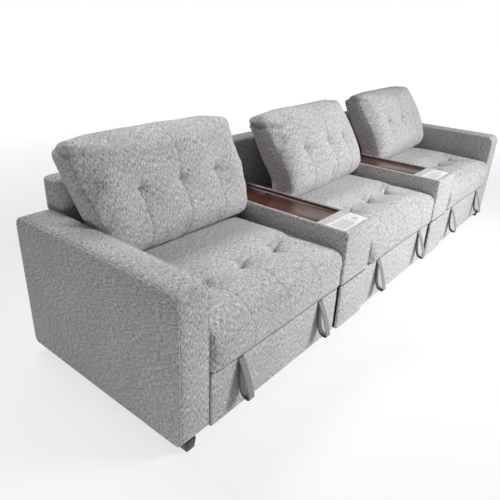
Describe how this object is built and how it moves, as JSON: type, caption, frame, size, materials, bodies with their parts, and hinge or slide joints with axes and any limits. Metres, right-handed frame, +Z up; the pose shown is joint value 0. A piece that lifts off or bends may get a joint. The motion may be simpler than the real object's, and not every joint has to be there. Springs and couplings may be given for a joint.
{
  "type": "storage sofa",
  "caption": "Long upholstered sofa with box arms, tufted loose cushions, consoles with walnut trays and charging pads, and strap-pulled storage drawers under the seats.",
  "frame": {"origin": "on the floor, under the middle of the bounding box at rest", "axes": "+X along the sofa to the right of someone facing its front, -Y out of the front, +Z up"},
  "size_m": [3.27, 0.975, 0.9518],
  "materials": {
    "upholstery": "woven heather, matte",
    "cushion_fabric": "woven heather, matte",
    "webbing": "flat woven strap",
    "walnut": "satin walnut stain",
    "foot_wood": "satin dark stain",
    "frame_timber": "raw sawn",
    "plywood": "raw sanded",
    "runner_wood": "waxed",
    "charger_panel": "fine matte",
    "charger_disc": "gloss",
    "charger_housing": "matte"
  },
  "bodies": {
    "sofa": {"arm_left_frame": "frame_timber", "arm_left_band": "upholstery", "arm_left_outer_panel": "upholstery", "arm_left_inner_panel": "upholstery", "arm_right_frame": "frame_timber", "arm_right_band": "upholstery", "arm_right_outer_panel": "upholstery", "arm_right_inner_panel": "upholstery", "back_frame": "frame_timber", "back_front_pad": "upholstery", "back_top_pad": "upholstery", "back_rear_panel": "upholstery", "arm_feet": "foot_wood", "console_feet": "foot_wood", "console_sides_1": "upholstery", "console_front_1": "upholstery", "console_kick_1": "upholstery", "console_base_1": "plywood", "console_deck_1": "plywood", "console_bridge_1": "upholstery", "console_tray_1": "walnut", "charger_panel_1": "charger_panel", "charger_disc_1": "charger_disc", "charger_module_1": "charger_housing", "console_sides_2": "upholstery", "console_front_2": "upholstery", "console_kick_2": "upholstery", "console_base_2": "plywood", "console_deck_2": "plywood", "console_bridge_2": "upholstery", "console_tray_2": "walnut", "charger_panel_2": "charger_panel", "charger_disc_2": "charger_disc", "charger_module_2": "charger_housing", "seat_deck_1": "plywood", "seat_cushion_1": "cushion_fabric", "back_cushion_1": "cushion_fabric", "drawer_rails_1": "runner_wood", "seat_deck_2": "plywood", "seat_cushion_2": "cushion_fabric", "back_cushion_2": "cushion_fabric", "drawer_rails_2": "runner_wood", "seat_deck_3": "plywood", "seat_cushion_3": "cushion_fabric", "back_cushion_3": "cushion_fabric", "drawer_rails_3": "runner_wood"},
    "drawer_1": {"drawer_front_1": "upholstery", "drawer_box_1": "plywood", "drawer_slides_1": "runner_wood", "drawer_straps_1": "webbing"},
    "drawer_2": {"drawer_front_2": "upholstery", "drawer_box_2": "plywood", "drawer_slides_2": "runner_wood", "drawer_straps_2": "webbing"},
    "drawer_3": {"drawer_front_3": "upholstery", "drawer_box_3": "plywood", "drawer_slides_3": "runner_wood", "drawer_straps_3": "webbing"}
  },
  "joints": [
    {"name": "drawer_1_slide", "type": "slide", "parent": "sofa", "child": "drawer_1", "axis": [0, -1, 0], "range_m": [0, 0.45]},
    {"name": "drawer_2_slide", "type": "slide", "parent": "sofa", "child": "drawer_2", "axis": [0, -1, 0], "range_m": [0, 0.45]},
    {"name": "drawer_3_slide", "type": "slide", "parent": "sofa", "child": "drawer_3", "axis": [0, -1, 0], "range_m": [0, 0.45]}
  ]
}
